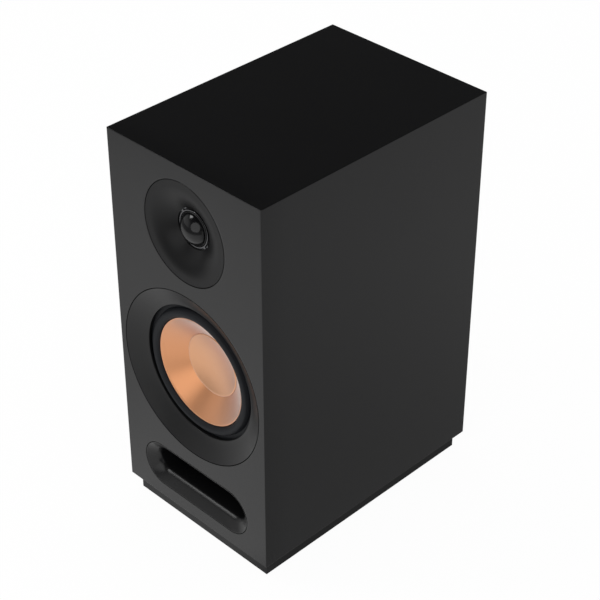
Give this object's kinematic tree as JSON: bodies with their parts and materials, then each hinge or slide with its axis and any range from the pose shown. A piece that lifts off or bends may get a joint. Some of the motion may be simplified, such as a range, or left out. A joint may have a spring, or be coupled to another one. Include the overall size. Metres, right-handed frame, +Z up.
{
  "type": "bookshelf speaker",
  "caption": "Two-way bookshelf loudspeaker cabinet with dome tweeter in a waveguide, copper-coloured woofer, front slot port and rear binding posts.",
  "frame": {"origin": "centre of the footprint, on the surface that the plinth stands on", "axes": "+Z up, the baffle faces -Y, the terminals face +Y, +X is to the right seen from the front"},
  "size_m": [0.16, 0.234, 0.3424],
  "materials": {
    "black_vinyl": "satin black vinyl over fibreboard",
    "fibreboard": "raw fibreboard",
    "black_plastic": "satin black moulded plastic",
    "black_rubber": "smooth matt rubber",
    "copper_cone": "copper-coloured spun metal, satin",
    "dome_black": "gloss black dome",
    "bright_metal": "bright",
    "zinc_steel": "zinc plated",
    "ferrite": "matt grey-black ceramic magnet",
    "cast_basket": "black painted casting",
    "copper_wire": "enamelled copper winding",
    "kapton": "amber film",
    "spider_cloth": "resin-stiffened weave",
    "foam": "closed-cell foam",
    "wadding": "polyester wadding",
    "green_board": "solder-masked board",
    "brown_board": "phenolic board",
    "capacitor_blue": "blue sleeve",
    "capacitor_amber": "amber film",
    "ceramic": "white ceramic",
    "gold_plate": "gold plated",
    "red_plastic": "red moulded grip",
    "cable_sheath": "grey-black PVC"
  },
  "bodies": {
    "cabinet": {"front_baffle": "black_vinyl", "bottom_panel": "black_vinyl", "right_panel": "black_vinyl", "top_panel": "black_vinyl", "left_panel": "black_vinyl", "rear_panel": "black_vinyl", "cross_brace": "fibreboard", "plinth": "black_plastic", "port_flare": "black_plastic", "port_duct": "black_plastic", "woofer_trim_ring": "black_plastic", "tweeter_waveguide": "black_plastic", "tweeter_rear_chamber": "black_plastic", "terminal_cup": "black_plastic", "rear_wadding": "wadding", "woofer_basket": "cast_basket", "woofer_gasket": "foam", "woofer_screw_1": "zinc_steel", "woofer_screw_2": "zinc_steel", "woofer_screw_3": "zinc_steel", "woofer_screw_4": "zinc_steel", "terminal_screw_1": "zinc_steel", "terminal_screw_2": "zinc_steel", "terminal_screw_3": "zinc_steel", "terminal_screw_4": "zinc_steel", "woofer_top_plate": "zinc_steel", "woofer_yoke": "zinc_steel", "tweeter_top_plate": "zinc_steel", "tweeter_yoke": "zinc_steel", "positive_nut": "zinc_steel", "negative_nut": "zinc_steel", "woofer_surround": "black_rubber", "tweeter_dome_surround": "black_rubber", "low_pass_inductor": "copper_wire", "high_pass_inductor": "copper_wire", "woofer_tinsel_lead_1": "copper_wire", "woofer_tinsel_lead_2": "copper_wire", "woofer_spider": "spider_cloth", "woofer_magnet": "ferrite", "tweeter_magnet": "ferrite", "woofer_terminal_strip": "brown_board", "tweeter_clamp_ring": "bright_metal", "positive_stud": "gold_plate", "negative_stud": "gold_plate", "crossover_board": "green_board", "low_pass_capacitor": "capacitor_blue", "high_pass_capacitor": "capacitor_amber", "resistor": "ceramic", "woofer_cable": "cable_sheath", "tweeter_cable": "cable_sheath"},
    "woofer_diaphragm": {"woofer_cone": "copper_cone", "woofer_dust_cap": "copper_cone", "woofer_former": "kapton", "woofer_voice_coil": "copper_wire"},
    "tweeter_diaphragm": {"tweeter_dome": "dome_black", "tweeter_voice_coil": "copper_wire"},
    "positive_clamp": {"positive_clamp_washer": "gold_plate"},
    "positive_grip": {"positive_cap": "red_plastic"},
    "negative_clamp": {"negative_clamp_washer": "gold_plate"},
    "negative_grip": {"negative_cap": "black_plastic"}
  },
  "joints": [
    {"name": "woofer_stroke", "type": "slide", "parent": "cabinet", "child": "woofer_diaphragm", "axis": [0, 1, 0], "range_m": [-0.004, 0.004], "stiffness_N_per_m": 1000, "deforming": ["woofer_surround", "woofer_spider", "woofer_tinsel_lead_1", "woofer_tinsel_lead_2"]},
    {"name": "tweeter_stroke", "type": "slide", "parent": "cabinet", "child": "tweeter_diaphragm", "axis": [0, 1, 0], "range_m": [-0.0004, 0.0004], "stiffness_N_per_m": 1000, "deforming": ["tweeter_dome_surround"]},
    {"name": "positive_clamp_slide", "type": "slide", "parent": "cabinet", "child": "positive_clamp", "axis": [0, 1, 0], "range_m": [0, 0.003]},
    {"name": "positive_cap_turn", "type": "hinge", "parent": "positive_clamp", "child": "positive_grip", "pos_m": [-0.016, 0.105, 0.1051], "axis": [0, 1, 0], "range_deg": [0, 1080]},
    {"name": "negative_clamp_slide", "type": "slide", "parent": "cabinet", "child": "negative_clamp", "axis": [0, 1, 0], "range_m": [0, 0.003]},
    {"name": "negative_cap_turn", "type": "hinge", "parent": "negative_clamp", "child": "negative_grip", "pos_m": [0.016, 0.105, 0.1051], "axis": [0, 1, 0], "range_deg": [0, 1080]}
  ],
  "couplings": [
    {"joint": "positive_cap_turn", "follows": "positive_clamp_slide", "rad_per_m": 6283},
    {"joint": "negative_cap_turn", "follows": "negative_clamp_slide", "rad_per_m": 6283}
  ]
}
